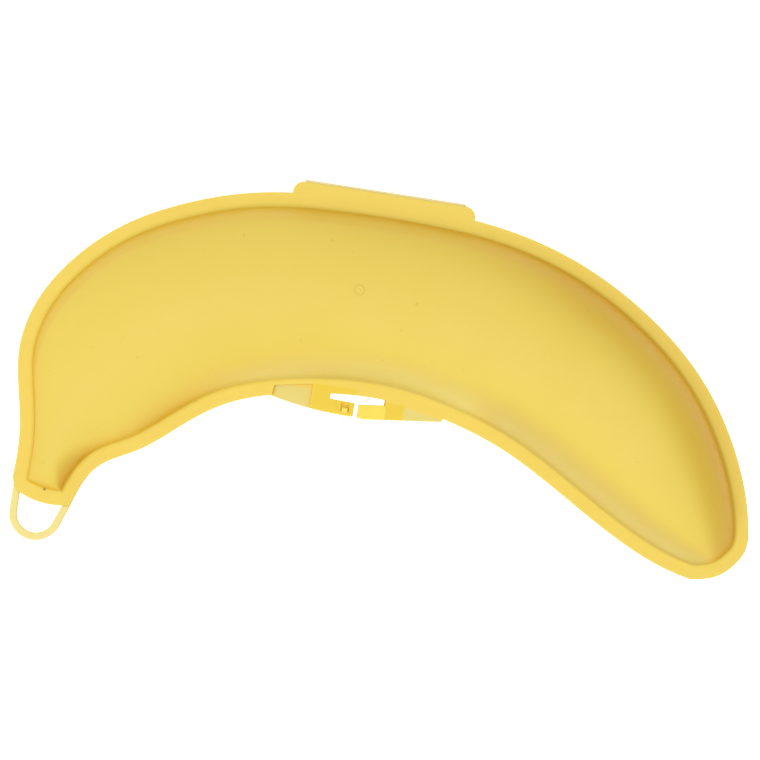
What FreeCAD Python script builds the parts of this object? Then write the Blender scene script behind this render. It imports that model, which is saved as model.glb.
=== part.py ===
import FreeCAD, Part

"""Hinged carrying case for one banana: two thin domed half shells in translucent plastic.

Design frame: X runs along the hinge, Y points from the case towards the hinge, Z is up.
Its origin is the middle of the hinge line (the outer edge of the hinge leaves) in the parting plane.
Every sub-part then gets one common Placement, which moves the origin to the bottom centre of the case.
"""

import functools
import math
import os

from FreeCAD import Placement, Rotation, Vector

# alias, millimetres (or degrees), meaning
SIZES = [
    ("case_length", 260.0, "rim outline, along the hinge"),
    ("case_depth", 121.0, "rim outline, across the hinge"),
    ("shell_height", 25.0, "parting plane to the crest of one shell"),
    ("stem_height", 11.0, "parting plane to the crest at the stem end"),
    ("shell_wall", 1.4, "wall of the domes"),
    ("rim_width", 5.0, "flat rim around each dome"),
    ("rim_thickness", 1.6, "thickness of rim, leaves, tabs and loop"),
    ("parting_gap", 0.2, "between the two closed rims"),
    ("gate_rise", 0.1, "the moulding gate's flat above the crest around it"),
    ("gate_radius", 1.8, "the moulding gate's flat"),
    ("draft_angle", 13.0, "degrees from the vertical at the foot of the dome"),
    ("hinge_length", 63.8, "hinge leaves, along the hinge"),
    ("leaf_reach", 3.3, "leaves' edge beyond the highest point of the rim"),
    ("leaf_corner", 3.8, "outer corners of the hinge leaves"),
    ("film_thickness", 0.4, "film of the living hinge"),
    ("fold_radius", 0.6, "film's centre line when the case is closed"),
    ("loop_band", 2.6, "width of the hanging loop's band"),
    ("loop_radius", 7.9, "centre line of the hanging loop's bend"),
    ("loop_leg", 6.6, "stem end to the bend of the hanging loop"),
    ("slot_width", 2.1, "slot between the rim and the latch arms"),
    ("arm_length", 8.7, "free length of one latch arm"),
    ("arm_width", 4.9, "width of one latch arm"),
    ("arm_gap", 1.4, "between the tips of the two latch arms"),
    ("flex_gap", 0.5, "root of a latch arm to its tab"),
    ("tab_length", 20.0, "stretch of rim that carries one latch tab"),
    ("keeper_root", 6.6, "stretch of rim that carries one keeper"),
    ("keeper_setback", 0.5, "outer edge of a keeper behind the arm's"),
    ("catch_window", 2.9, "square window in a keeper"),
    ("catch_strip", 1.1, "strip of keeper outside its window"),
    ("catch_tip", 1.6, "window to the end of its keeper"),
    ("hook_length", 2.1, "hook, along the arm"),
    ("hook_post", 1.1, "hook's post, across the arm"),
    ("hook_overhang", 0.8, "hook beyond its post"),
    ("hook_lip", 0.9, "thickness of the hook's overhang"),
    ("hook_clearance", 0.2, "hook to the keeper, on each side"),
]

# Rim outline seen from above: percent of case_length from the middle of the hinge,
# percent of case_depth from the crown of the rim. Each edge runs from the stem to the tip
# or from the inner curve to the outer one.
OUTER_EDGE = [
    (-43.4, -93.5), (-43.3, -84.0), (-44.2, -70.7), (-45.15, -57.9), (-44.0, -44.0), (-39.7, -28.9),
    (-33.5, -16.9), (-26.9, -9.3), (-17.3, -2.6), (-5.8, 0.0), (5.8, 0.0), (15.1, -1.6),
    (25.6, -7.3), (36.6, -19.5), (46.0, -37.3), (51.3, -55.0), (54.2, -72.0), (54.8, -79.0),
]
INNER_EDGE = [
    (-35.3, -99.4), (-34.5, -94.3), (-32.6, -87.4), (-27.8, -81.0), (-22.4, -72.0), (-16.9, -63.7),
    (-11.15, -59.2), (-3.15, -56.1), (4.0, -55.6), (13.1, -59.0), (19.5, -63.5), (26.1, -70.6),
    (32.8, -79.1), (39.4, -86.8), (45.2, -91.6), (48.0, -93.0),
]
STEM_END = [(-35.3, -99.4), (-38.6, -99.75), (-41.4, -98.4), (-42.9, -96.4), (-43.4, -93.5)]
TIP_END = [(48.0, -93.0), (49.9, -92.2), (51.9, -90.3), (53.6, -86.6), (54.6, -82.7), (54.8, -79.0)]

# Shape of the domes
FULLNESS = 0.13  # how far the cross-section swells beyond an ellipse
STEM_RISE = 0.30  # share of the length over which the crest rises from the stem
STEM_ROUND = 0.030  # share of the length over which the stem end rounds down
TIP_ROUND = 0.17  # share of the length over which the tip rounds down
GATE_ALONG = 0.476  # share of the length at which the gate lies
GATE_ACROSS = 0.56  # share of the width at which the gate lies, from the inner curve
ROUND_ROWS = 8
LENGTH_ROWS = 28
ACROSS_ROWS = 24
INSET_SPACING = 4.0
TRIM_STEP = 0.2
TRIM_REACH = 18.0
BLANK_OVERLAP = 1.0  # how far the blanks of tabs and keepers reach over the rim they are fitted to
TAB_RUNOUT = 3.0  # how far a tab's blank starts before its stretch of rim

LOWER, UPPER = -1, 1  # the side of the parting plane that a piece lies on

doc = FreeCAD.newDocument("banana_case")
sheet = doc.addObject("Spreadsheet::Sheet", "Sizes")
for row, (alias, value, meaning) in enumerate(SIZES, start=1):
    sheet.set(f"A{row}", meaning)
    sheet.set(f"B{row}", str(value))
    sheet.setAlias(f"B{row}", alias)
doc.recompute()


def size(alias):
    """A driving dimension, as the sheet holds it."""
    return float(sheet.get(alias))


half_gap = size("parting_gap") / 2
crown_y = -size("leaf_reach")
face = half_gap + size("rim_thickness")  # outer face of a rim, from the parting plane


# ---------------------------------------------------------------- rim outline


def edge_through(points):
    """A smooth edge through outline points that are given in percent."""
    curve = Part.BSplineCurve()
    curve.interpolate(
        [
            Vector(x / 100 * size("case_length"), crown_y + y / 100 * size("case_depth"), 0)
            for x, y in points
        ]
    )
    return curve.toShape()


outer_edge = edge_through(OUTER_EDGE)
inner_edge = edge_through(INNER_EDGE)
stem_edge = edge_through(STEM_END)
tip_edge = edge_through(TIP_END)
rim_edges = [outer_edge, inner_edge, stem_edge, tip_edge]
rim_wire = Part.Wire(Part.sortEdges(rim_edges)[0])
rim_box = rim_wire.BoundBox


def inner_rim_y(x):
    """Where the rim's inner curve lies at x."""
    line = Part.LineSegment(Vector(x, rim_box.YMin, 0), Vector(x, rim_box.YMax, 0)).toShape()
    return inner_edge.distToShape(line)[1][0][0].y


def along(edge, fraction):
    """The point that a fraction of the edge's length leads to."""
    return edge.valueAt(edge.getParameterByLength(edge.Length * fraction))


# which side of each edge the case lies on, seen along the edge
LEFT, RIGHT = 1, -1
rim_sides = {
    "outer": (outer_edge, RIGHT),
    "inner": (inner_edge, LEFT),
    "stem": (stem_edge, RIGHT),
    "tip": (tip_edge, LEFT),
}


def inset_point(name, length, distance):
    """The point at a length along a rim edge, moved into the case by a distance."""
    edge, side = rim_sides[name]
    parameter = edge.getParameterByLength(min(length, edge.Length))
    ahead = edge.tangentAt(parameter)
    return edge.valueAt(parameter) + Vector(-ahead.y, ahead.x, 0) * side * distance


def inset_corner(first, first_at_end, second, second_at_end, distance):
    """How much of two adjoining edges to leave out, so that their inset curves meet there."""

    def near_corner(name, at_end):
        whole = rim_sides[name][0].Length
        lengths = [step * TRIM_STEP for step in range(int(TRIM_REACH / TRIM_STEP))]
        return [
            (left_out, inset_point(name, whole - left_out if at_end else left_out, distance))
            for left_out in lengths
        ]

    left_out = (0.0, 0.0)
    for length, point in near_corner(first, first_at_end):
        for other_length, other_point in near_corner(second, second_at_end):
            meets = point.distanceToPoint(other_point) < TRIM_STEP
            if meets and length + other_length > sum(left_out):
                left_out = (length, other_length)
    return left_out


def inset_edges(distance):
    """The rim outline moved inwards, as its outer, inner, stem and tip edges."""
    start, end = {}, {}
    start["inner"], start["stem"] = inset_corner("inner", False, "stem", False, distance)
    start["outer"], end["stem"] = inset_corner("outer", False, "stem", True, distance)
    end["inner"], start["tip"] = inset_corner("inner", True, "tip", False, distance)
    end["outer"], end["tip"] = inset_corner("outer", True, "tip", True, distance)
    inset = []
    for name, (edge, side) in rim_sides.items():
        kept = edge.Length - start[name] - end[name]
        count = max(6, round(kept / INSET_SPACING))
        curve = Part.BSplineCurve()
        curve.interpolate(
            [
                inset_point(name, start[name] + kept * step / count, distance)
                for step in range(count + 1)
            ]
        )
        inset.append(curve.toShape())
    return inset


def patch(distance):
    """The inset outline as a surface patch: u from stem to tip, v from inner to outer curve."""
    outer, inner, stem, tip = inset_edges(distance)

    @functools.cache
    def at(edge, fraction):
        return along(edge, fraction)

    def point(u, v):
        across = at(inner, u) * (1 - v) + at(outer, u) * v
        lengthways = at(stem, v) * (1 - u) + at(tip, v) * u
        corners = (
            at(inner, 0.0) * (1 - u) * (1 - v)
            + at(outer, 0.0) * (1 - u) * v
            + at(inner, 1.0) * u * (1 - v)
            + at(outer, 1.0) * u * v
        )
        return across + lengthways - corners

    return point


# ---------------------------------------------------------------------- domes

gate_spot = patch(size("rim_width"))(GATE_ALONG, GATE_ACROSS)


def rounding(angle):
    """Distance (0 at the foot, 1 at the top) and height (0 to 1) of a drafted quarter round."""
    draft = math.radians(size("draft_angle"))

    def reach(a):
        return math.cos(a) * (1 + FULLNESS * math.sin(a) ** 2)

    distance = 1 - reach(angle) / reach(draft)
    height = (math.sin(angle) - math.sin(draft)) / (1 - math.sin(draft))
    return distance, height


def across_rows():
    """Place across the dome (0 to 1) and share of the crest's height, from curve to curve."""
    draft = math.radians(size("draft_angle"))
    rows = []
    for step in range(ACROSS_ROWS + 1):
        angle = draft + (math.pi - 2 * draft) * step / ACROSS_ROWS
        distance, height = rounding(angle)
        rows.append((distance / 2, height))
    return rows


def length_rows():
    """Place along the dome (0 to 1) and share of the crest's height, from stem to tip."""
    draft = math.radians(size("draft_angle"))
    angles = [draft + (math.pi / 2 - draft) * step / ROUND_ROWS for step in range(ROUND_ROWS)]
    rows = []
    for angle in angles:
        distance, height = rounding(angle)
        rows.append((STEM_ROUND * distance, height))
    for step in range(LENGTH_ROWS + 1):
        place = STEM_ROUND + (1 - STEM_ROUND - TIP_ROUND) * step / LENGTH_ROWS
        rows.append((place, 1.0))
    for angle in reversed(angles):
        distance, height = rounding(angle)
        rows.append((1 - TIP_ROUND * distance, height))
    return rows


def crest_height(place):
    """Height of the crest over the parting plane, low at the stem."""
    rise = min(place / STEM_RISE, 1.0)
    blend = rise * rise * (3 - 2 * rise)
    return size("stem_height") + (size("shell_height") - size("stem_height")) * blend


def level_border(surface, height):
    """Put the whole border of a surface exactly at one height."""
    for u in range(1, surface.NbUPoles + 1):
        for v in range(1, surface.NbVPoles + 1):
            if u in (1, surface.NbUPoles) or v in (1, surface.NbVPoles):
                pole = surface.getPole(u, v)
                surface.setPole(u, v, Vector(pole.x, pole.y, height))


def dome_solid(side, inset, foot, crest_drop):
    """Solid dome over the inset outline, from its foot's height up to the crest less a drop."""
    outline = patch(inset)
    grid = []
    for u, end_share in length_rows():
        rise = crest_height(u) - crest_drop - foot
        grid.append(
            [
                outline(u, v) + Vector(0, 0, side * (foot + rise * end_share * share))
                for v, share in across_rows()
            ]
        )
    surface = Part.BSplineSurface()
    surface.interpolate(grid)
    level_border(surface, side * foot)
    skin = surface.toShape()
    base = Part.Face(Part.Wire(Part.sortEdges(skin.Edges)[0]))
    solid = Part.Solid(Part.Shell([skin, base]))
    if solid.Volume < 0:
        solid.reverse()
    return solid, base


def outer_dome(side):
    """The dome's outside, standing on the outer face of the rim, with the gate's small flat."""
    solid, _ = dome_solid(side, size("rim_width"), face, size("gate_rise"))
    start = Vector(gate_spot.x, gate_spot.y, side * (size("shell_height") - size("shell_wall")))
    gate = Part.makeCylinder(size("gate_radius"), size("shell_wall"), start, Vector(0, 0, side))
    return solid.fuse(gate)


def inner_dome(side):
    """The hollow, with a straight mouth that reaches past the rim's inner face."""
    inset = size("rim_width") + size("shell_wall") - size("rim_thickness") * math.tan(
        math.radians(size("draft_angle"))
    )
    solid, base = dome_solid(side, inset, half_gap, size("gate_rise") + size("shell_wall"))
    return solid.fuse(base.extrude(Vector(0, 0, -side * size("rim_thickness"))))


def feature(name, shape):
    """A document object that holds a shape made by Part's functions."""
    holder = doc.addObject("Part::Feature", name)
    holder.Shape = shape
    return holder


# -------------------------------------------------------------- padded bodies


def polygon(points):
    """Closed outline of straight lines."""
    corners = [Vector(x, y, 0) for x, y in points]
    return [
        Part.LineSegment(start, end) for start, end in zip(corners, corners[1:] + corners[:1])
    ]


def padded(name, outline, side, offset="Sizes.parting_gap / 2", thickness="Sizes.rim_thickness"):
    """Flat body on one side of the parting plane, padded away from it."""
    body = doc.addObject("PartDesign::Body", name)
    plane = [f for f in body.Origin.OriginFeatures if f.Role == "XY_Plane"][0]
    sketch = body.newObject("Sketcher::SketchObject", name + "_outline")
    sketch.AttachmentSupport = [(plane, "")]
    sketch.MapMode = "FlatFace"
    sketch.setExpression("AttachmentOffset.Base.z", f"{side} * ({offset})")
    sketch.addGeometry(outline, False)
    pad = body.newObject("PartDesign::Pad", name + "_pad")
    pad.Profile = sketch
    pad.Reversed = side == LOWER
    pad.setExpression("Length", thickness)
    body.Tip = pad
    doc.recompute()
    return body


def round_corners(body, radius, chosen):
    """Fillet the upright edges of the body whose middle the chosen function accepts."""
    names = []
    for number, edge in enumerate(body.Shape.Edges, start=1):
        box = edge.BoundBox
        upright = box.XLength + box.YLength < 1e-6 < box.ZLength
        if upright and chosen(box.Center):
            names.append(f"Edge{number}")
    rounded = body.Tip
    fillet = body.newObject("PartDesign::Fillet", body.Name + "_corners")
    fillet.Base = (rounded, names)
    fillet.setExpression("Radius", radius)
    body.Tip = fillet
    doc.recompute()
    return body


def cut(name, base, tool):
    """Base without tool."""
    result = doc.addObject("Part::Cut", name)
    result.Base = base
    result.Tool = tool
    return result


def fused(name, base, tool):
    """Base and tool in one."""
    result = doc.addObject("Part::Fuse", name)
    result.Base = base
    result.Tool = tool
    return result


# -------------------------------------------------------------------- layout

# Latch arms: the lower one points towards +X, the upper one towards -X, tips face to face.
arm_tips_x = 1.1
lower_arm_root = arm_tips_x - size("arm_gap") / 2 - size("arm_length")
upper_arm_root = arm_tips_x + size("arm_gap") / 2 + size("arm_length")
arm_top_y = min(inner_rim_y(lower_arm_root), inner_rim_y(upper_arm_root)) - size("slot_width")
arm_foot_y = arm_top_y - size("arm_width")
arm_middle_y = (arm_top_y + arm_foot_y) / 2

# Hanging loop: an upright leg, a bend, and a leg that leans over to the stem's inner corner.
LOOP_LEAN = math.radians(21)
stem_low_y = stem_edge.BoundBox.YMin
loop_centre = Vector(
    along(stem_edge, 1.0).x + size("loop_band") / 2 + size("loop_radius") + 0.5,
    stem_low_y + 2.6 - size("loop_leg"),
    0,
)

# The case's own box, whose bottom centre is the origin of the finished part
film_outside = size("fold_radius") + size("film_thickness") / 2
loop_bottom = loop_centre.y - size("loop_radius") - size("loop_band") / 2
to_part_frame = Placement(
    Vector(
        -(rim_box.XMin + rim_box.XMax) / 2,
        -(loop_bottom + film_outside) / 2,
        size("shell_height"),
    ),
    Rotation(),
)

subparts = []


def finish(piece, name):
    """Name a sub-part and place it in the part's frame."""
    piece.Label = name
    piece.Placement = to_part_frame
    subparts.append(piece)


# --------------------------------------------------------------------- shells


def shell(name, side):
    """One half shell, dome and rim, open at the parting plane."""
    plate = padded(name + "_rim", [edge.Curve for edge in rim_edges], side)
    outside = feature(name + "_outside", outer_dome(side))
    inside = feature(name + "_inside", inner_dome(side))
    solid = fused(name + "_solid", plate, outside)
    return cut(name, solid, inside)


lower_shell = shell("lower_shell_body", LOWER)
upper_shell = shell("upper_shell_body", UPPER)

# The upper rim is notched where the lower tab shows by itself, up to the upper keeper.
notch_start = lower_arm_root - size("tab_length")
notch_end = lower_arm_root - size("keeper_root")
NOTCH_DEPTH = 3.4
rim_notch = padded(
    "rim_notch",
    polygon(
        [
            (notch_start, inner_rim_y(notch_start) + NOTCH_DEPTH),
            (notch_start, arm_foot_y),
            (notch_end, arm_foot_y),
            (notch_end, inner_rim_y(notch_end) + NOTCH_DEPTH),
        ]
    ),
    UPPER,
)
upper_shell = cut("upper_shell_notched", upper_shell, rim_notch)
finish(lower_shell, "lower_shell")
finish(upper_shell, "upper_shell")


# ---------------------------------------------------------------------- hinge


def hinge_leaf(name, side):
    """Strip with a straight outer edge, fitted to the curved rim."""
    half = size("hinge_length") / 2
    root_y = crown_y - 2 * size("rim_width")
    outline = polygon([(-half, 0), (half, 0), (half, root_y), (-half, root_y)])
    body = padded(name + "_blank", outline, side)
    round_corners(body, "Sizes.leaf_corner", lambda point: abs(point.y) < 1e-6)
    # only the strip beyond the rim is leaf: the rest of the blank lies on the dome's side
    beyond = cut(name + "_fitted", body, feature(name + "_rim_space", rim_space(side)))
    finish(beyond, name)


def rim_space(side):
    """Everything inside the rim outline, through the full thickness of the rim."""
    low = half_gap if side == UPPER else -face
    base = Part.Face(rim_wire)
    base.translate(Vector(0, 0, low))
    return base.extrude(Vector(0, 0, face - half_gap))


hinge_leaf("lower_hinge_leaf", LOWER)
hinge_leaf("upper_hinge_leaf", UPPER)


def hinge_film():
    """Half-round film that joins the outer edges of the two closed leaves."""
    body = doc.addObject("PartDesign::Body", "hinge_film_body")
    plane = [f for f in body.Origin.OriginFeatures if f.Role == "YZ_Plane"][0]
    sketch = body.newObject("Sketcher::SketchObject", "hinge_film_section")
    sketch.AttachmentSupport = [(plane, "")]
    sketch.MapMode = "FlatFace"
    outside = size("fold_radius") + size("film_thickness") / 2
    inside = size("fold_radius") - size("film_thickness") / 2
    normal = Vector(0, 0, 1)
    sketch.addGeometry(
        [
            Part.ArcOfCircle(Part.Circle(Vector(), normal, outside), -math.pi / 2, math.pi / 2),
            Part.LineSegment(Vector(0, outside, 0), Vector(0, inside, 0)),
            Part.ArcOfCircle(Part.Circle(Vector(), normal, inside), -math.pi / 2, math.pi / 2),
            Part.LineSegment(Vector(0, -inside, 0), Vector(0, -outside, 0)),
        ],
        False,
    )
    pad = body.newObject("PartDesign::Pad", "hinge_film_pad")
    pad.Profile = sketch
    pad.Midplane = True
    pad.setExpression("Length", "Sizes.hinge_length - 2 * Sizes.leaf_corner")
    body.Tip = pad
    finish(body, "hinge_film")


hinge_film()


# ---------------------------------------------------------------------- latch


def mirrored_x(direction, root, offsets):
    """Points given along an arm from its root, for an arm that points along direction."""
    return [(root + direction * x, y) for x, y in offsets]


def latch(prefix, other, side, direction, root):
    """Tab, flexing arm and hook on one shell, and the keeper on the other."""
    reach = size("arm_length")
    tab_start = -size("tab_length") - TAB_RUNOUT

    # the tab widens from nothing to the full width of the arm
    tab_outline = [
        (tab_start, inner_rim_y(root + direction * tab_start) + BLANK_OVERLAP),
        (tab_start, inner_rim_y(root + direction * tab_start)),
        (-size("flex_gap"), arm_foot_y),
        (-size("flex_gap"), arm_top_y),
        (-size("flex_gap"), inner_rim_y(root - direction * size("flex_gap")) + BLANK_OVERLAP),
    ]
    tab = padded(prefix + "_tab_blank", polygon(mirrored_x(direction, root, tab_outline)), side)
    space = feature(prefix + "_tab_rim_space", rim_space(side))
    finish(cut(prefix + "_tab_fitted", tab, space), prefix + "_latch_tab")

    arm_outline = [(0, arm_top_y), (0, arm_foot_y), (reach, arm_foot_y), (reach, arm_top_y)]
    arm = padded(prefix + "_arm", polygon(mirrored_x(direction, root, arm_outline)), side)
    tip_x = root + direction * reach
    round_corners(
        arm,
        "Sizes.slot_width / 2",
        lambda point: abs(point.x - tip_x) < 1e-6,
    )
    finish(arm, prefix + "_latch_arm")

    # the keeper lies on the other side of the parting plane, with a window for the hook
    keeper_foot = arm_foot_y + size("keeper_setback")
    keeper_outline = [
        (-size("keeper_root"), inner_rim_y(root - direction * size("keeper_root")) + BLANK_OVERLAP),
        (-size("keeper_root"), keeper_foot),
        (reach, keeper_foot),
        (reach, arm_top_y),
        (0, arm_top_y),
        (0, inner_rim_y(root) + BLANK_OVERLAP),
    ]
    keeper = padded(
        other + "_keeper_blank", polygon(mirrored_x(direction, root, keeper_outline)), -side
    )
    window_foot = keeper_foot + size("catch_strip")
    window_end = reach - size("catch_tip")
    window_start = window_end - size("catch_window")
    window_outline = [
        (window_start, window_foot),
        (window_end, window_foot),
        (window_end, window_foot + size("catch_window")),
        (window_start, window_foot + size("catch_window")),
    ]
    window = padded(
        other + "_keeper_window", polygon(mirrored_x(direction, root, window_outline)), -side
    )
    space = feature(other + "_keeper_rim_space", rim_space(-side))
    fitted = cut(other + "_keeper_fitted", keeper, space)
    finish(cut(other + "_keeper_open", fitted, window), other + "_keeper")

    # the hook stands on the arm, passes through the window and grips the strip outside it
    hook_start = window_start + (size("catch_window") - size("hook_length")) / 2
    hook_end = hook_start + size("hook_length")
    post_foot = window_foot + size("hook_clearance")
    post_outline = [
        (hook_start, post_foot),
        (hook_end, post_foot),
        (hook_end, post_foot + size("hook_post")),
        (hook_start, post_foot + size("hook_post")),
    ]
    post = padded(
        prefix + "_hook_post",
        polygon(mirrored_x(direction, root, post_outline)),
        -side,
        "-Sizes.parting_gap / 2",
        "Sizes.parting_gap + Sizes.rim_thickness + Sizes.hook_clearance + Sizes.hook_lip",
    )
    lip_outline = [
        (hook_start, post_foot - size("hook_overhang")),
        (hook_end, post_foot - size("hook_overhang")),
        (hook_end, post_foot),
        (hook_start, post_foot),
    ]
    lip = padded(
        prefix + "_hook_lip",
        polygon(mirrored_x(direction, root, lip_outline)),
        -side,
        "Sizes.parting_gap / 2 + Sizes.rim_thickness + Sizes.hook_clearance",
        "Sizes.hook_lip",
    )
    finish(fused(prefix + "_hook_body", post, lip), prefix + "_latch_hook")


latch("lower", "upper", LOWER, 1, lower_arm_root)
latch("upper", "lower", UPPER, -1, upper_arm_root)


# --------------------------------------------------------------- hanging loop


def loop_path(offset):
    """The loop's outline at an offset from its centre line, from the left leg to the right one."""
    radius = size("loop_radius") + offset
    left = loop_centre + Vector(-radius, 0, 0)
    lean_end = loop_centre + Vector(math.cos(LOOP_LEAN), -math.sin(LOOP_LEAN), 0) * radius
    bottom = loop_centre + Vector(0, -radius, 0)
    leg = size("loop_leg")
    left_top = left + Vector(0, leg, 0)
    right_top = lean_end + Vector(math.sin(LOOP_LEAN), math.cos(LOOP_LEAN), 0) * (leg + 4.0)
    return left_top, left, bottom, lean_end, right_top


def hanging_loop():
    """Flat band in the plane of the lower rim, fitted to the stem end."""
    outside = loop_path(size("loop_band") / 2)
    inside = loop_path(-size("loop_band") / 2)
    outline = []
    for left_top, left, bottom, lean_end, right_top in (outside, inside):
        outline.append(Part.LineSegment(left_top, left))
        outline.append(Part.Arc(left, bottom, lean_end))
        outline.append(Part.LineSegment(lean_end, right_top))
    outline.append(Part.LineSegment(outside[0], inside[0]))
    outline.append(Part.LineSegment(outside[-1], inside[-1]))
    band = padded("hanging_loop_band", outline, LOWER)
    space = feature("hanging_loop_rim_space", rim_space(LOWER))
    finish(cut("hanging_loop_fitted", band, space), "hanging_loop")


hanging_loop()


# --------------------------------------------------------------------- output

doc.recompute()
for thing in doc.Objects:
    if {"Invalid", "Error"} & set(thing.State):
        raise RuntimeError(f"{thing.Name} failed: {thing.State}")
for piece in subparts:
    if piece.Shape.isNull() or not piece.Shape.isValid():
        raise RuntimeError(f"{piece.Label} has no valid shape")

os.makedirs("parts", exist_ok=True)
for piece in subparts:
    piece.Shape.exportStep(os.path.join("parts", piece.Label + ".step"))
    box = piece.Shape.BoundBox
    print(
        f"{piece.Label:18s} solids {len(piece.Shape.Solids)} volume {piece.Shape.Volume:9.1f}"
        f"  x {box.XMin:7.1f} {box.XMax:7.1f}  y {box.YMin:7.1f} {box.YMax:7.1f}"
        f"  z {box.ZMin:6.2f} {box.ZMax:6.2f}"
    )
base = to_part_frame.Base
print(f"design origin x {base.x:.3f} y {base.y:.3f} z {base.z:.3f}")
rest = base + gate_spot
print(f"resting flat x {rest.x:.3f} y {rest.y:.3f}")
bend = base + loop_centre
print(f"loop bend centre x {bend.x:.3f} y {bend.y:.3f}")
axis = base + Vector(0, math.pi / 2 * size("fold_radius"), 0)
print(f"hinge axis x {axis.x:.3f} y {axis.y:.3f} z {axis.z:.3f}")
for label, root in (("lower", lower_arm_root), ("upper", upper_arm_root)):
    pivot = base + Vector(root, arm_middle_y, 0)
    print(f"{label} arm pivot x {pivot.x:.3f} y {pivot.y:.3f} z {pivot.z:.3f}")
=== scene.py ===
import math

import bpy
import bmesh
import numpy as np
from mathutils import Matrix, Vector
from mathutils.geometry import delaunay_2d_cdt


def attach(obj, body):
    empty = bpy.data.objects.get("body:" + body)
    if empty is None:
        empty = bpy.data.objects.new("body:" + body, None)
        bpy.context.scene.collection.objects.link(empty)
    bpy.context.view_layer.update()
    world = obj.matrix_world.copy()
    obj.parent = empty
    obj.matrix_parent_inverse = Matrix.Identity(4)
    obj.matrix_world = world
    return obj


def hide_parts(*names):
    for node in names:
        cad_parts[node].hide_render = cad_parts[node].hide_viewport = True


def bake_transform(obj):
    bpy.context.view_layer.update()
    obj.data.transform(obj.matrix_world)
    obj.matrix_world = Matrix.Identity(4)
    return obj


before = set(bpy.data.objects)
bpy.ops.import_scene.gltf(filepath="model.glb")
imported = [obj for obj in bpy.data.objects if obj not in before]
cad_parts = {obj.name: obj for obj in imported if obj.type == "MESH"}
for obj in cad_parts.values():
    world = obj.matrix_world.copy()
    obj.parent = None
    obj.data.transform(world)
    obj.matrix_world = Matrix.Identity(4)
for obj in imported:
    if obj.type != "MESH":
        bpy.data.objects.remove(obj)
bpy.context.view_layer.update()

# Looks of the banana case: millimetres in the design frame (X along the hinge, Y towards it,
# origin in the middle of the hinge line, in the parting plane) until a mesh is made.
SHIFT = np.array([-12.488, 68.265, 25.0])

LENGTH, DEPTH = 260.0, 121.0
CROWN_Y = -3.3  # where the rim comes nearest to the hinge line
HALF_GAP = 0.1  # from the parting plane to a rim's inner face
THICKNESS = 1.6  # of the rim
FACE = HALF_GAP + THICKNESS  # from the parting plane to a rim's outer face
RIM = 5.0  # width of the rim
WALL = 1.4
HEIGHT = 25.0  # of a half, with its gate mark
STEM_HEIGHT = 11.0  # where the crest starts at the stem
GATE_RISE = 0.1  # from the crest of a dome to the top of its gate mark
DRAFT = math.radians(13)
FULLNESS = 0.13  # how far a dome's section stands out beyond a round one
STEM_RISE = 0.30  # share of the length over which the crest climbs from the stem
STEM_ROUND, TIP_ROUND = 0.030, 0.17  # shares of the length in which a dome closes
EDGE = 0.28  # rounding of the moulding's edges
FILLET = 1.7  # rounding between rim and dome
LIP = ((0.25, 0.0), (0.08, 0.12))  # rounding of the mouth: how far outside it, how high
HOLLOW_FOOT = 0.5  # lowest row of a hollow's grid, over the rim's inner face
SMOOTH_LIMIT = math.radians(40)  # sharper edges stay sharp
LOWER, UPPER = -1, 1

# Rim outline in percent of length and depth, as in the design.
OUTER_EDGE = [
    (-43.4, -93.5), (-43.3, -84.0), (-44.2, -70.7), (-45.15, -57.9), (-44.0, -44.0), (-39.7, -28.9),
    (-33.5, -16.9), (-26.9, -9.3), (-17.3, -2.6), (-5.8, 0.0), (5.8, 0.0), (15.1, -1.6),
    (25.6, -7.3), (36.6, -19.5), (46.0, -37.3), (51.3, -55.0), (54.2, -72.0), (54.8, -79.0),
]
INNER_EDGE = [
    (-35.3, -99.4), (-34.5, -94.3), (-32.6, -87.4), (-27.8, -81.0), (-22.4, -72.0), (-16.9, -63.7),
    (-11.15, -59.2), (-3.15, -56.1), (4.0, -55.6), (13.1, -59.0), (19.5, -63.5), (26.1, -70.6),
    (32.8, -79.1), (39.4, -86.8), (45.2, -91.6), (48.0, -93.0),
]
STEM_END = [(-35.3, -99.4), (-38.6, -99.75), (-41.4, -98.4), (-42.9, -96.4), (-43.4, -93.5)]
TIP_END = [(48.0, -93.0), (49.9, -92.2), (51.9, -90.3), (53.6, -86.6), (54.6, -82.7), (54.8, -79.0)]


# ------------------------------------------------------------------ outlines


class Edge:
    """A smooth curve through outline points, measured by its length."""

    def __init__(self, points):
        chords = np.linalg.norm(np.diff(points, axis=0), axis=1)
        knots = np.concatenate([[0], np.cumsum(chords)])
        fine = np.linspace(0, knots[-1], 900)
        self.points = np.stack([cubic(knots, points[:, k], fine) for k in (0, 1)], axis=1)
        steps = np.linalg.norm(np.diff(self.points, axis=0), axis=1)
        self.lengths = np.concatenate([[0], np.cumsum(steps)])
        self.length = self.lengths[-1]
        ahead = np.gradient(self.points, axis=0)
        self.ahead = ahead / np.linalg.norm(ahead, axis=1)[:, None]

    def at(self, length):
        return np.stack([np.interp(length, self.lengths, self.points[:, k]) for k in (0, 1)], axis=-1)

    def beside(self, length, distance, side):
        """Points at these lengths, moved sideways by a distance."""
        ahead = np.stack([np.interp(length, self.lengths, self.ahead[:, k]) for k in (0, 1)], axis=-1)
        left = np.stack([-ahead[..., 1], ahead[..., 0]], axis=-1)
        return self.at(length) + left * side * distance


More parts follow.
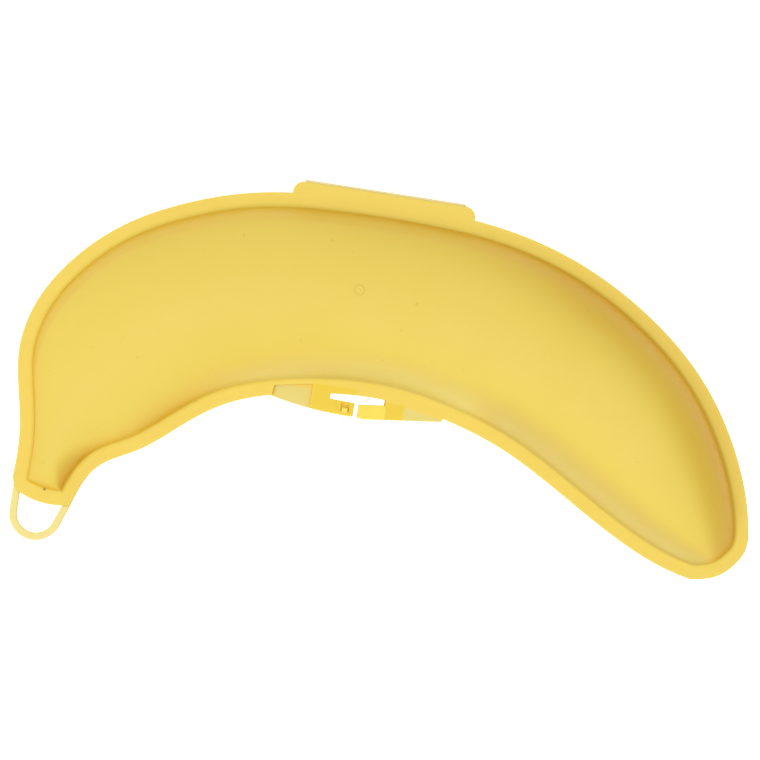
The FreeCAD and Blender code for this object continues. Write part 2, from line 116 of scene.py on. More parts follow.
def cubic(knots, values, wanted):
    """Natural cubic spline through values at knots, read at the wanted places."""
    count = len(knots)
    step = np.diff(knots)
    system = np.eye(count)
    right = np.zeros(count)
    for k in range(1, count - 1):
        system[k, k - 1 : k + 2] = step[k - 1], 2 * (step[k - 1] + step[k]), step[k]
        slope_after = (values[k + 1] - values[k]) / step[k]
        slope_before = (values[k] - values[k - 1]) / step[k - 1]
        right[k] = 6 * (slope_after - slope_before)
    bend = np.linalg.solve(system, right)
    piece = np.clip(np.searchsorted(knots, wanted) - 1, 0, count - 2)
    h = step[piece]
    before = knots[piece + 1] - wanted
    after = wanted - knots[piece]
    return (
        (bend[piece] * before**3 + bend[piece + 1] * after**3) / (6 * h)
        + (values[piece] / h - bend[piece] * h / 6) * before
        + (values[piece + 1] / h - bend[piece + 1] * h / 6) * after
    )


def from_percent(points):
    """Outline points in millimetres, from percent of length and depth."""
    table = np.array(points, float) / 100 * (LENGTH, DEPTH)
    return table + (0, CROWN_Y)


EDGES = {
    "outer": (Edge(from_percent(OUTER_EDGE)), -1),
    "inner": (Edge(from_percent(INNER_EDGE)), 1),
    "stem": (Edge(from_percent(STEM_END)), -1),
    "tip": (Edge(from_percent(TIP_END)), 1),
}
CORNERS = [
    ("inner", "start", "stem", "start"),
    ("outer", "start", "stem", "end"),
    ("inner", "end", "tip", "start"),
    ("outer", "end", "tip", "end"),
]


def left_out(first, first_end, second, second_end, distance):
    """Lengths of two adjoining edges to leave out, so that their inset curves meet."""
    lengths = np.arange(0, 18, 0.1)
    rows = []
    for name, end in ((first, first_end), (second, second_end)):
        edge, side = EDGES[name]
        places = edge.length - lengths if end == "end" else lengths
        rows.append(edge.beside(places, distance, side))
    apart = np.linalg.norm(rows[0][:, None] - rows[1][None], axis=2)
    close = np.argwhere(apart < max(0.12, apart.min() + 1e-6))
    best = close[np.argmax(close.sum(axis=1))]
    return lengths[best[0]], lengths[best[1]]


def inset(distance):
    """The outline moved inwards: a function per edge that gives points at fractions."""
    trims = {name: {"start": 0.0, "end": 0.0} for name in EDGES}
    for first, first_end, second, second_end in CORNERS:
        out = left_out(first, first_end, second, second_end, distance)
        trims[first][first_end], trims[second][second_end] = out
    ends = {}
    for name, (edge, side) in EDGES.items():
        start = trims[name]["start"]
        kept = edge.length - start - trims[name]["end"]
        fine = start + kept * np.linspace(0, 1, 700)
        ends[name] = edge.beside(fine, distance, side)
    # adjoining curves share their corner exactly
    for first, first_end, second, second_end in CORNERS:
        i = -1 if first_end == "end" else 0
        j = -1 if second_end == "end" else 0
        corner = (ends[first][i] + ends[second][j]) / 2
        ends[first][i] = corner
        ends[second][j] = corner

    def reader(points):
        walked = np.concatenate([[0], np.cumsum(np.linalg.norm(np.diff(points, axis=0), axis=1))])

        def at(fractions):
            where = np.asarray(fractions) * walked[-1]
            return np.stack([np.interp(where, walked, points[:, k]) for k in (0, 1)], axis=-1)

        return at

    return {name: reader(points) for name, points in ends.items()}


def ring(distance, us, vs):
    """Closed loop, anticlockwise, of the outline moved inwards."""
    at = inset(distance)
    return np.concatenate(
        [at["inner"](us), at["tip"](vs[1:]), at["outer"](us[::-1][1:]), at["stem"](vs[::-1][1:-1])]
    )


def patch(distance, us, vs):
    """Grid of plan points over the inset outline."""
    at = inset(distance)
    u, v = us[:, None, None], vs[None, :, None]
    inner, outer = at["inner"](us)[:, None], at["outer"](us)[:, None]
    stem, tip = at["stem"](vs)[None], at["tip"](vs)[None]
    corners = (
        inner[:1] * (1 - u) * (1 - v) + outer[:1] * (1 - u) * v
        + inner[-1:] * u * (1 - v) + outer[-1:] * u * v
    )
    return inner * (1 - v) + outer * v + stem * (1 - u) + tip * u - corners


# --------------------------------------------------------------------- domes


def rounding(angle):
    """A dome's section at an angle: shares of the half width, from the foot, and of the height."""

    def reach(a):
        return np.cos(a) * (1 + FULLNESS * np.sin(a) ** 2)

    distance = 1 - reach(angle) / reach(DRAFT)
    height = (np.sin(angle) - math.sin(DRAFT)) / (1 - math.sin(DRAFT))
    return distance, height


def across_rows(count=56):
    """Shares of the width and of the height, for a grid's rows across a dome."""
    angle = DRAFT + (math.pi - 2 * DRAFT) * np.linspace(0, 1, count + 1)
    distance, height = rounding(angle)
    return distance / 2, height


def length_rows(end_rows=16, rows=200):
    """Shares of the length and of the height, for a grid's rows along a dome."""
    angle = DRAFT + (math.pi / 2 - DRAFT) * np.arange(end_rows) / end_rows
    distance, height = rounding(angle)
    middle = np.linspace(STEM_ROUND, 1 - TIP_ROUND, rows)
    places = np.concatenate([STEM_ROUND * distance, middle, 1 - TIP_ROUND * distance[::-1]])
    shares = np.concatenate([height, np.ones(rows), height[::-1]])
    return places, shares


def crest(place):
    """Height of a half's crest, gate mark included, at a share of the length."""
    rise = np.minimum(place / STEM_RISE, 1.0)
    return STEM_HEIGHT + (HEIGHT - STEM_HEIGHT) * rise * rise * (3 - 2 * rise)


US, END_SHARES = length_rows()
VS, ACROSS_SHARES = across_rows()


def dome(distance, foot, drop, lowest=0.0):
    """Grid that rises from a foot to a drop under the crest, with no row under the lowest."""
    plan = patch(distance, US, VS)
    rise = crest(US) - drop - foot
    height = foot + (rise * END_SHARES)[:, None] * ACROSS_SHARES[None]
    height = np.maximum(height, lowest)
    return np.concatenate([plan, height[..., None]], axis=2)


def border_of(grid):
    """The grid's border in the order of ring()."""
    return np.concatenate([grid[:, 0], grid[-1, 1:], grid[::-1][1:, -1], grid[0, ::-1][1:-1]])


# -------------------------------------------------------------------- meshes


class Build:
    """Collects faces by their corners' places and welds them into one closed mesh."""

    def __init__(self):
        self.points = []
        self.faces = []

    def add(self, points):
        start = sum(len(p) for p in self.points)
        self.points.append(np.asarray(points, float))
        return start

    def grid(self, points):
        rows, columns = points.shape[:2]
        start = self.add(points.reshape(-1, 3))
        for i in range(rows - 1):
            for j in range(columns - 1):
                a = start + i * columns + j
                self.faces.append((a, a + columns, a + columns + 1, a + 1))

    def band(self, loops):
        """Quads between successive closed loops of equal count."""
        count = len(loops[0])
        start = self.add(np.concatenate(loops))
        for k in range(len(loops) - 1):
            for i in range(count):
                j = (i + 1) % count
                a = start + k * count
                self.faces.append((a + i, a + j, a + count + j, a + count + i))

    def cap(self, loop):
        """One face inside a loop."""
        start = self.add(loop)
        self.faces.append(tuple(range(start, start + len(loop))))

    def flat(self, outline, holes, height):
        """Flat face inside an outline and outside its holes."""
        loops = [outline] + list(holes)
        corners, sides = [], []
        for loop in loops:
            start = len(corners)
            count = len(loop)
            corners += [Vector((float(x), float(y))) for x, y in loop]
            sides += [(start + i, start + (i + 1) % count) for i in range(count)]
        flat_points, _, triangles, *_ = delaunay_2d_cdt(corners, sides, [], 1, 1e-7)
        places = np.array([(p.x, p.y) for p in flat_points])
        middles = places[np.array(triangles)].mean(axis=1)
        kept = within(middles, outline)
        for hole in holes:
            kept &= ~within(middles, hole)
        start = self.add(raised(places, height))
        self.faces += [tuple(start + i for i in t) for t, keep in zip(triangles, kept) if keep]

    def finish(self, name):
        """An object of the collected faces, in metres, with doubled points welded."""
        points = np.concatenate(self.points)
        mesh = bpy.data.meshes.new(name)
        mesh.from_pydata(((points + SHIFT) / 1000).tolist(), [], self.faces)
        work = bmesh.new()
        work.from_mesh(mesh)
        bmesh.ops.remove_doubles(work, verts=work.verts, dist=2e-6)
        bmesh.ops.dissolve_degenerate(work, edges=work.edges, dist=1e-7)
        bmesh.ops.recalc_face_normals(work, faces=work.faces)
        work.to_mesh(mesh)
        work.free()
        mesh.shade_smooth()
        mesh.set_sharp_from_angle(angle=SMOOTH_LIMIT)
        thing = bpy.data.objects.new(name, mesh)
        bpy.context.scene.collection.objects.link(thing)
        weighted = thing.modifiers.new("even_flats", "WEIGHTED_NORMAL")
        weighted.keep_sharp = True
        return thing


def within(points, loop):
    """Which plan points lie inside a closed loop."""
    x, y = points[:, :1], points[:, 1:]
    (x0, y0), (x1, y1) = loop.T, np.roll(loop, -1, axis=0).T
    crossed = (y0 > y) != (y1 > y)
    rise = np.where(crossed, y1 - y0, 1.0)
    return (crossed & (x < x0 + (y - y0) * (x1 - x0) / rise)).sum(axis=1) % 2 == 1


def raised(loop, height):
    """Plan points put at a height."""
    return np.concatenate([loop, np.full((len(loop), 1), height)], axis=1)


def drawn_in(loop, distance):
    """A closed anticlockwise loop moved inwards, corner by corner."""
    before = loop - np.roll(loop, 1, axis=0)
    after = np.roll(loop, -1, axis=0) - loop
    n1 = np.stack([-before[:, 1], before[:, 0]], axis=1) / np.linalg.norm(before, axis=1)[:, None]
    n2 = np.stack([-after[:, 1], after[:, 0]], axis=1) / np.linalg.norm(after, axis=1)[:, None]
    middle = n1 + n2
    middle /= np.maximum((middle * n1).sum(axis=1), 0.5)[:, None]
    return loop + middle * distance


def edge_band(build, outline, side, high=FACE, rounded=EDGE):
    """Rounded upright border of a plate. Returns the loop that its flat faces start from."""
    loops = []
    for turns, level, inwards in (((0, 30, 60, 90), HALF_GAP, 1), ((90, 60, 30, 0), high, -1)):
        for turn in np.radians(turns):
            back = rounded * (1 - math.sin(turn))
            height = level + inwards * rounded * (1 - math.cos(turn))
            loops.append(raised(drawn_in(outline, back), side * height))
    build.band(loops)
    return drawn_in(outline, rounded)


def arc(centre, radius, start, end, steps=8):
    angles = np.radians(np.linspace(start, end, steps + 1))
    return [(centre[0] + radius * math.cos(a), centre[1] + radius * math.sin(a)) for a in angles]


def spaced(points, step=1.5):
    """A polyline with long runs divided, so that bends and blends are smooth."""
    result = []
    for a, b in zip(points[:-1], points[1:]):
        a, b = np.array(a), np.array(b)
        parts = max(1, int(math.ceil(np.linalg.norm(b - a) / step)))
        result += [tuple(a + (b - a) * k / parts) for k in range(parts)]
    return result + [tuple(points[-1])]


# -------------------------------------------------------------------- layout

LEAF_ROUND = 3.8  # corners of the hinge leaves
LEAF_FOOT = 0.6  # straight stretch of a leaf's sides
TAB_STARTS = {LOWER: -29.0, UPPER: 31.0}
TAB_ENDS = {LOWER: -8.8, UPPER: 11.0}
ARM_ROOTS = {LOWER: -8.3, UPPER: 10.5}  # where the flexing arms start
ARM_REACH = 8.7
ARM_ENDS = {side: root - side * ARM_REACH for side, root in ARM_ROOTS.items()}
ARM_TUCK = 0.7  # how far an arm's plate reaches back into its tab
ARM_LIFT = 0.006  # keeps an arm's outer face from lying in its tab's
ARM_TOP, ARM_FOOT = -73.26, -78.16  # of the lower arm
UPPER_ARM_WIDTH = 5.05
SLANT = 0.118  # the upper arm and tab rise towards the tip
KEEPER_SETBACK = 0.45  # from the border of the other half's tab and arm
KEEPER_FAR_ENDS = {LOWER: 17.1, UPPER: -14.9}
WINDOW_FOOT = -76.56
WINDOW = 2.9
CATCH_TIP = 1.6  # from a window to the end of its keeper
HOOK_WIDTH = 2.1
HOOK_POST, HOOK_LIP = 1.1, 0.8  # the post's depth, and how far the lip stands out from it
HOOK_ROUND = 0.12
FILM_END = 28.1  # from the middle of the hinge
FILM_INSIDE = 0.4  # radius of the fold
FILM_THICKNESS, FILM_GAIN = 0.4, 0.08  # in the middle of the fold, and more at its ends
GATE = (-3.86, -34.89)
GATE_SECTION = [  # radius, and height from the top of the mark
    (1.8, -0.8), (1.8, -0.08), (1.72, 0.0), (1.45, 0.0),
    (1.32, -0.1), (0.55, -0.1), (0.42, -0.01), (0.2, -0.01),
]
EDGE_POINTS = {"outer": 260, "inner": 260, "stem": 24, "tip": 30}  # of a half's border


def rim_inner_y(x):
    """Border of the rim on the inner curve."""
    points = EDGES["inner"][0].points
    return float(np.interp(x, points[:, 0], points[:, 1]))


def leaf_outline():
    """The hinge leaf's border, from its right end to its left."""
    right = arc((FILM_END, -LEAF_ROUND), LEAF_ROUND, 0, 90)
    left = arc((-FILM_END, -LEAF_ROUND), LEAF_ROUND, 90, 180)
    return spaced(right + left, 3.0)


def lower_tab_y(x):
    """Outer border of the lower tab and arm: a shallow arc."""
    return -78.12 + 0.0040 * (x + 1.0) ** 2


def upper_tab_y(x):
    """Outer border of the upper tab and arm: straight, rising towards the tip."""
    return -78.42 + SLANT * (x - 3.4)


def upper_arm_top(x):
    """Edge of the upper arm towards the slot."""
    return upper_tab_y(x) + UPPER_ARM_WIDTH


def latch_outline(side):
    """Inner border of a half at the latch, from left to right."""
    slot = [(x, rim_inner_y(x)) for x in np.linspace(TAB_ENDS[LOWER], TAB_ENDS[UPPER], 24)]
    root, end, far_end = ARM_ROOTS[-side], ARM_ENDS[-side], KEEPER_FAR_ENDS[side]
    tab_corner = (TAB_ENDS[side], rim_inner_y(TAB_ENDS[side]))
    if side == LOWER:
        xs = np.linspace(TAB_STARTS[LOWER], TAB_ENDS[LOWER], 14)
        tab = [(x, min(lower_tab_y(x), rim_inner_y(x))) for x in xs] + [tab_corner]
        keeper = [
            (root, rim_inner_y(root)), (root, upper_arm_top(root)), (end, upper_arm_top(end)),
            (end, upper_tab_y(end) + KEEPER_SETBACK),
            (far_end, upper_tab_y(far_end) + KEEPER_SETBACK), (far_end, rim_inner_y(far_end)),
        ]
        return spaced(tab) + slot[1:-1] + spaced(keeper)
    notch = [(-28.3, rim_inner_y(-28.3)), (-27.8, -71.3), (-21.0, -69.9), (far_end, -68.9)]
    keeper = [(x, lower_tab_y(x) + KEEPER_SETBACK) for x in (far_end, -8.0, end)]
    keeper += [(end, ARM_TOP), (root, ARM_TOP + 0.25), (root, rim_inner_y(root))]
    xs = np.linspace(TAB_ENDS[UPPER], TAB_STARTS[UPPER], 14)
    tab = [tab_corner] + [(x, min(upper_tab_y(x), rim_inner_y(x))) for x in xs]
    return spaced(notch + keeper) + slot[1:-1] + spaced(tab)


def half_outline(side):
    """Border of a half: rim, hinge leaf, tab and keeper in one."""
    def far(a, b):
        return math.hypot(a[0] - b[0], a[1] - b[1]) > 0.02

    at = {}
    for name, (edge, _) in EDGES.items():
        at[name] = edge.at(edge.length * np.linspace(0, 1, EDGE_POINTS[name]))
    latch = latch_outline(side)
    inner = [tuple(p) for p in at["inner"]]
    clear = 0.2  # between the outline's own points and those of the leaf and the latch
    first = min(i for i, p in enumerate(inner) if p[0] > latch[0][0] + clear)
    last = min(i for i, p in enumerate(inner) if p[0] > latch[-1][0] + clear)
    inner = inner[:first] + latch + inner[last:]
    leaf = leaf_outline()
    outer = [tuple(p) for p in at["outer"]]
    (right, right_y), (left, left_y) = leaf[0], leaf[-1]
    outer = (
        [p for p in outer if p[0] < left - clear]
        + [(left, left_y - LEAF_FOOT)] + leaf[::-1] + [(right, right_y - LEAF_FOOT)]
        + [p for p in outer if p[0] > right + clear]
    )
    tip = [tuple(p) for p in at["tip"][1:]]
    stem = [tuple(p) for p in at["stem"]]
    border = inner + tip + outer[::-1][1:] + stem[::-1][1:-1]
    return np.array([p for p, before in zip(border, border[-1:] + border[:-1]) if far(p, before)])


def window_loop(side):
    """Window in the keeper that lies on this side, for the other side's hook."""
    reach = ARM_REACH - CATCH_TIP
    # the lower keeper takes the upper arm, which points towards -X
    left, right = sorted(ARM_ROOTS[-side] + side * x for x in (reach - WINDOW, reach))
    top = WINDOW_FOOT + WINDOW
    return np.array([(left, WINDOW_FOOT), (right, WINDOW_FOOT), (right, top), (left, top)])


# --------------------------------------------------------------------- halves


def half(name, side):
    """One half of the moulding: dome, rim, hinge leaf, latch tab and keeper."""
    build = Build()
    outline = half_outline(side)
    start = edge_band(build, outline, side)
    window = window_loop(side)

    turns = np.linspace(0, math.pi / 2 - DRAFT, 8)
    foot = RIM - FILLET * math.tan((math.pi / 2 - DRAFT) / 2)
    insets, rises = foot + FILLET * np.sin(turns), FILLET * (1 - np.cos(turns))
    outside = dome(insets[-1], FACE + rises[-1], GATE_RISE)
    loops = [raised(ring(d, US, VS), side * (FACE + h)) for d, h in zip(insets[:-1], rises)]
    outside[..., 2] *= side
    build.band(loops + [border_of(outside)])
    build.grid(outside)
    build.flat(start, [loops[0][:, :2], window], side * FACE)

    mouth = RIM + WALL - THICKNESS * math.tan(DRAFT)
    inside = dome(mouth, HALF_GAP, GATE_RISE + WALL, HALF_GAP + HOLLOW_FOOT)
    inside[..., 2] *= side
    loops = [raised(ring(mouth - d, US, VS), side * (HALF_GAP + h)) for d, h in LIP]
    build.band(loops + [border_of(inside)])
    build.grid(inside)
    build.flat(start, [loops[0][:, :2], window], side * HALF_GAP)
    build.band([raised(window, side * FACE), raised(window, side * HALF_GAP)])
    return build.finish(name)


def plate(name, outline, side, high=FACE, rounded=EDGE):
    """Flat moulded piece with rounded edges."""
    build = Build()
    start = edge_band(build, np.array(outline), side, high, rounded)
    build.flat(start, [], side * HALF_GAP)
    build.flat(start, [], side * high)
    return build.finish(name)


def arm(name, side):
    """A latch arm with rounded tip corners. Its root lies in the end of the tab."""
    tip = ARM_ENDS[side]
    root = TAB_ENDS[side] + side * ARM_TUCK
    if side == LOWER:
        small, large = 0.5, 1.3
        outline = (
            [(root, ARM_TOP + 0.3), (root, lower_tab_y(root))]
            + [(x, lower_tab_y(x)) for x in np.linspace(root, tip - small, 8)[1:]]
            + arc((tip - small, lower_tab_y(tip) + small), small, -90, 0, 4)[1:]
            + arc((tip - large, ARM_TOP - large), large, 0, 90, 6)
        )
    else:
        small, large = 0.7, 2.0
        outline = (
            [(root, upper_tab_y(root)), (root, upper_arm_top(root))]
            + arc((tip + small, upper_arm_top(tip) - 0.62), small, 83, 180, 5)
            + arc((tip + large, upper_tab_y(tip) + 2.2), large, 180, 277, 8)
        )
    closed = spaced(outline + [outline[0]], 0.7)[:-1]
    return plate(name, closed, side, high=FACE + ARM_LIFT)


def hook(name, side):
    """Hook on an arm: a post through the keeper's window with a lip over its outer strip."""
    ends = window_loop(-side)
    middle = (ends[0, 0] + ends[1, 0]) / 2
    foot = WINDOW_FOOT + 0.2
    back, lip, top = foot + HOOK_POST, foot - HOOK_LIP, FACE + 1.1
    section = [
        (foot, -HALF_GAP), (foot, FACE + 0.2), (lip, FACE + 0.2), (lip, FACE + 0.75),
        (foot - 0.45, top), (foot + 0.75, top), (back, FACE + 0.85), (back, -HALF_GAP),
    ]
    build = Build()
    loops = []
    for x in (middle - HOOK_WIDTH / 2, middle + HOOK_WIDTH / 2):
        loops.append(np.array([(x, y, -side * z) for y, z in section]))
    build.band(loops)
    for loop in loops:
        build.cap(loop)
    thing = build.finish(name)
    rounded = thing.modifiers.new("rounded", "BEVEL")
    rounded.width = HOOK_ROUND / 1000
    rounded.segments = 2
    rounded.limit_method = "ANGLE"
    thing.modifiers.move(1, 0)
    return thing


def film(name):
    """Half-round film of the living hinge, thinnest in the middle of the fold."""
    turns = np.radians(np.linspace(-90, 90, 25))
    xs = np.linspace(-FILM_END, FILM_END, 71)
    section = []
    for turn in turns:
        radius = FILM_INSIDE + FILM_THICKNESS + FILM_GAIN * abs(math.sin(turn)) ** 3
        section.append((radius * math.cos(turn), radius * math.sin(turn)))
    for turn in turns[::-1]:
        section.append((FILM_INSIDE * math.cos(turn), FILM_INSIDE * math.sin(turn)))
    section = np.array(section)
    build = Build()
    loops = [np.concatenate([np.full((len(section), 1), x), section], axis=1) for x in xs]
    build.band(loops)
    for loop in (loops[0], loops[-1]):
        start = build.add(loop)
        count = len(turns)
        for i in range(count - 1):
            build.faces.append(
                (start + i, start + i + 1, start + 2 * count - 2 - i, start + 2 * count - 1 - i)
            )
    return build.finish(name)


def gate_mark(name, side):
    """The moulding gate's low ring and nub, on the crest of the dome."""
    turns = np.radians(np.arange(0, 360, 7.5))
    loops = []
    for radius, rise in GATE_SECTION:
        x, y = GATE[0] + radius * np.cos(turns), GATE[1] + radius * np.sin(turns)
        loops.append(np.stack([x, y, np.full(len(turns), side * (HEIGHT + rise))], axis=1))
    build = Build()
    build.band(loops)
    for loop in (loops[0], loops[-1]):
        build.cap(loop)
    return build.finish(name)


def meeting(start, end, line):
    """Where the run from start to end, or a little beyond it, first meets a polyline."""
    start, end = np.array(start), np.array(end)
    best = None
    for a, b in zip(line[:-1], line[1:]):
        matrix = np.array([end - start, a - b]).T
        if abs(np.linalg.det(matrix)) < 1e-9:
            continue
        t, s = np.linalg.solve(matrix, a - start)
        if 0 <= t <= 1.3 and -1e-6 <= s <= 1 + 1e-6 and (best is None or t < best[0]):
            best = (t, tuple(start + t * (end - start)))
    return best[1]


def hanging_loop(name):
    """Flat band that starts and ends on the stem's border."""
    lean = math.radians(21)
    stem = EDGES["stem"][0].points
    radius, band, leg = 7.9, 2.6, 6.6
    centre = np.array([stem[-1, 0] + band / 2 + radius + 0.5, stem[:, 1].min() + 2.6 - leg])
    sides = []
    for offset in (band / 2, -band / 2):
        r = radius + offset
        bend = arc(centre, r, 180, 360 - math.degrees(lean), 28)
        left_top = (bend[0][0], bend[0][1] + leg + 6)
        slope = np.array([math.sin(lean), math.cos(lean)])
        right_top = tuple(np.array(bend[-1]) + slope * (leg + 6))
        right_end = tuple(stem[0]) if offset > 0 else meeting(bend[-1], right_top, stem)
        sides.append([meeting(bend[0], left_top, stem)] + bend + [right_end])
    outside, inside = sides
    outline = spaced(outside, 1.0) + spaced(inside, 1.0)[::-1]
    return plate(name, outline, LOWER, rounded=0.35)


# ------------------------------------------------------------------ materials


CREST_TONE = (0.86, 0.66, 0.115)
# painted shade, partly real: steep walls take this deeper colour for the thicker plastic seen through
# them and for the shade that falls on them
STEEP_WALL_DEPTH_AND_SHADE = (0.80, 0.49, 0.03)
# painted shade: the three tones below darken walls by the way they face, standing in for the shade
# that falls on them
INNER_WALL_PAINTED_SHADE = (0.78, 0.61, 0.14)  # walls along the inner curve
TIP_WALL_PAINTED_SHADE = (0.71, 0.53, 0.115)  # the same walls near the tip
OUTER_WALL_PAINTED_SHADE = (0.86, 0.76, 0.48)  # walls that face the tip end
SPECK_TINT = (0.80, 0.66, 0.42)
PINHOLE_PAINTED_SHADE = (0.42, 0.24, 0.03)
# painted light and shade of the latch: one layer is paler for the light that comes through it,
# overlapping layers deeper for the shade where less light comes through
PALE_LAYER_PAINTED_LIGHT = (0.78, 0.665, 0.20)  # one layer of the latch's tabs
DEEP_LAYER_PAINTED_SHADE = (0.84, 0.62, 0.055)  # where the latch's layers lie over each other
# directions and stretches along which the painted shade on the walls is laid
TOWARDS_BAY = (-0.35, -0.94)
TOWARDS_TIP = (0.95, 0.3)
INNER_STRETCH, TIP_STRETCH = (-75.0, 45.0), (45.0, 160.0)  # along the hinge
WHOLE_DEPTH = (-130.0, 0.0)


def node(tree, kind, **settings):
    """A new shader node, with values for its sockets and its own settings."""
    made = tree.nodes.new(kind)
    for key, value in settings.items():
        if key in made.inputs:
            made.inputs[key].default_value = value
        else:
            setattr(made, key, value)
    return made


def metres(x, y):
    """A plan point of the design as the finished meshes have it."""
    return (x + SHIFT[0]) / 1000, (y + SHIFT[1]) / 1000


def step(tree, value, low, high, rising=True):
    """0 to 1 as a value goes from low to high, or 1 to 0."""
    ends = (0.0, 1.0) if rising else (1.0, 0.0)
    ramp = node(tree, "ShaderNodeMapRange", interpolation_type="SMOOTHSTEP",
                **{"From Min": low, "From Max": high, "To Min": ends[0], "To Max": ends[1]})
    tree.links.new(value, ramp.inputs["Value"])
    return ramp.outputs["Result"]


def math_of(tree, operation, *values):
    """A Math node of one or two values, each a socket or a number."""
    made = node(tree, "ShaderNodeMath", operation=operation)
    for index, value in enumerate(values):
        if isinstance(value, (int, float)):
            made.inputs[index].default_value = value
        else:
            tree.links.new(value, made.inputs[index])
    return made.outputs[0]


def away_from(tree, where, centre):
    """Distance in plan from a point, in metres."""
    x, y = metres(*centre)
    moved = node(tree, "ShaderNodeVectorMath", operation="SUBTRACT")
    moved.inputs[1].default_value = (x, y, 0)
    tree.links.new(where, moved.inputs[0])
    flat = node(tree, "ShaderNodeVectorMath", operation="MULTIPLY")
    flat.inputs[1].default_value = (1, 1, 0)
    tree.links.new(moved.outputs[0], flat.inputs[0])
    length = node(tree, "ShaderNodeVectorMath", operation="LENGTH")
    tree.links.new(flat.outputs[0], length.inputs[0])
    return length.outputs["Value"]


def region(tree, where, x_range, y_range, slant=0.0, soft=0.0005):
    """1 inside a plan region of the design, 0 outside. Its Y limits may slant along X."""
    axes = node(tree, "ShaderNodeSeparateXYZ")
    tree.links.new(where, axes.inputs[0])
    (x0, y0), (x1, y1) = metres(x_range[0], y_range[0]), metres(x_range[1], y_range[1])
    along = math_of(tree, "SUBTRACT", axes.outputs["X"], x0)
    y = math_of(tree, "ADD", axes.outputs["Y"], math_of(tree, "MULTIPLY", along, slant))
    inside = None
    for value, low, high in ((axes.outputs["X"], x0, x1), (y, y0, y1)):
        for limit, rising in ((low, True), (high, False)):
            edge = step(tree, value, limit - soft, limit + soft, rising)
            inside = edge if inside is None else math_of(tree, "MULTIPLY", inside, edge)
    return inside


def tinted(tree, base, factor, colour, blend="MIX"):
    """A colour mixed into another, as far as the factor says."""
    mix = node(tree, "ShaderNodeMix", data_type="RGBA", blend_type=blend)
    tree.links.new(factor, mix.inputs["Factor"])
    tree.links.new(base, mix.inputs["A"])
    mix.inputs["B"].default_value = (*colour, 1)
    return mix.outputs["Result"]


def facing_to(tree, normal, direction, low, high):
    """0 to 1 as the surface turns towards a direction in plan."""
    turned = node(tree, "ShaderNodeVectorMath", operation="DOT_PRODUCT")
    turned.inputs[1].default_value = (*direction, 0)
    tree.links.new(normal, turned.inputs[0])
    return step(tree, turned.outputs["Value"], low, high)


def body_tone_and_painted_shade(tree, where, normal, light, deep):
    """Deeper where the plastic stands steep, partly for the thicker plastic seen through and partly
    as painted shade; faintly clouded; and with painted shade on walls by the way they face.
    """
    facing = node(tree, "ShaderNodeSeparateXYZ")
    tree.links.new(normal, facing.inputs[0])
    level = math_of(tree, "ABSOLUTE", facing.outputs["Z"])
    cloud = node(tree, "ShaderNodeTexNoise", Scale=24.0, Detail=3.0, Roughness=0.5)
    tree.links.new(where, cloud.inputs["Vector"])
    clouding = math_of(tree, "MULTIPLY", math_of(tree, "SUBTRACT", cloud.outputs["Fac"], 0.5), 0.35)
    # painted shade: steep faces take the deep colour and level ones the light colour, with random
    # clouding
    shade = math_of(tree, "ADD", step(tree, level, 0.15, 0.98), clouding)
    base = node(tree, "ShaderNodeMix", data_type="RGBA", clamp_factor=True)
    tree.links.new(shade, base.inputs["Factor"])
    base.inputs["A"].default_value = (*deep, 1)
    base.inputs["B"].default_value = (*light, 1)
    colour = base.outputs["Result"]
    # painted shade on walls that face the inner curve, deeper near the tip
    inwards = facing_to(tree, normal, TOWARDS_BAY, 0.45, 0.9)
    for stretch, tone in ((INNER_STRETCH, INNER_WALL_PAINTED_SHADE), (TIP_STRETCH, TIP_WALL_PAINTED_SHADE)):
        part = region(tree, where, stretch, WHOLE_DEPTH, soft=0.008)
        colour = tinted(tree, colour, math_of(tree, "MULTIPLY", inwards, part), tone)
    # painted shade on walls that face the tip end, away from the light
    tip_facing_painted_shade = facing_to(tree, normal, TOWARDS_TIP, 0.1, 0.6)
    return tinted(tree, colour, tip_facing_painted_shade, OUTER_WALL_PAINTED_SHADE, "MULTIPLY")


def specked(tree, where, colour):
    """Fine darker specks over a colour."""
    noise = node(tree, "ShaderNodeTexNoise", Scale=420.0, Detail=2.0)
    tree.links.new(where, noise.inputs["Vector"])
    speck = math_of(tree, "MULTIPLY", step(tree, noise.outputs["Fac"], 0.70, 0.80), 0.35)
    return tinted(tree, colour, speck, SPECK_TINT, "MULTIPLY")


def painted_light_through(tree, where, glow):
    """Emission strength: a painted glow near the parting plane, standing in for the light that shows
    where the case is thin.
    """
    axes = node(tree, "ShaderNodeSeparateXYZ")
    tree.links.new(where, axes.inputs[0])
    above = math_of(tree, "SUBTRACT", axes.outputs["Z"], SHIFT[2] / 1000)
    near = step(tree, math_of(tree, "ABSOLUTE", above), 0.002, 0.006, False)
    return math_of(tree, "MULTIPLY", near, glow)


def scuffs(tree, where):
    """Roughness that fine slanting scratches change."""
    space = node(tree, "ShaderNodeMapping", Scale=(60.0, 900.0, 300.0))
    space.inputs["Rotation"].default_value = (0, 0, 0.6)
    tree.links.new(where, space.inputs["Vector"])
    scratches = node(tree, "ShaderNodeTexNoise", Scale=1.0, Detail=2.0)
    tree.links.new(space.outputs["Vector"], scratches.inputs["Vector"])
    rough = node(tree, "ShaderNodeMapRange",
                 **{"From Min": 0.3, "From Max": 0.75, "To Min": 0.46, "To Max": 0.64})
    tree.links.new(scratches.outputs["Fac"], rough.inputs["Value"])
    return rough.outputs["Result"]


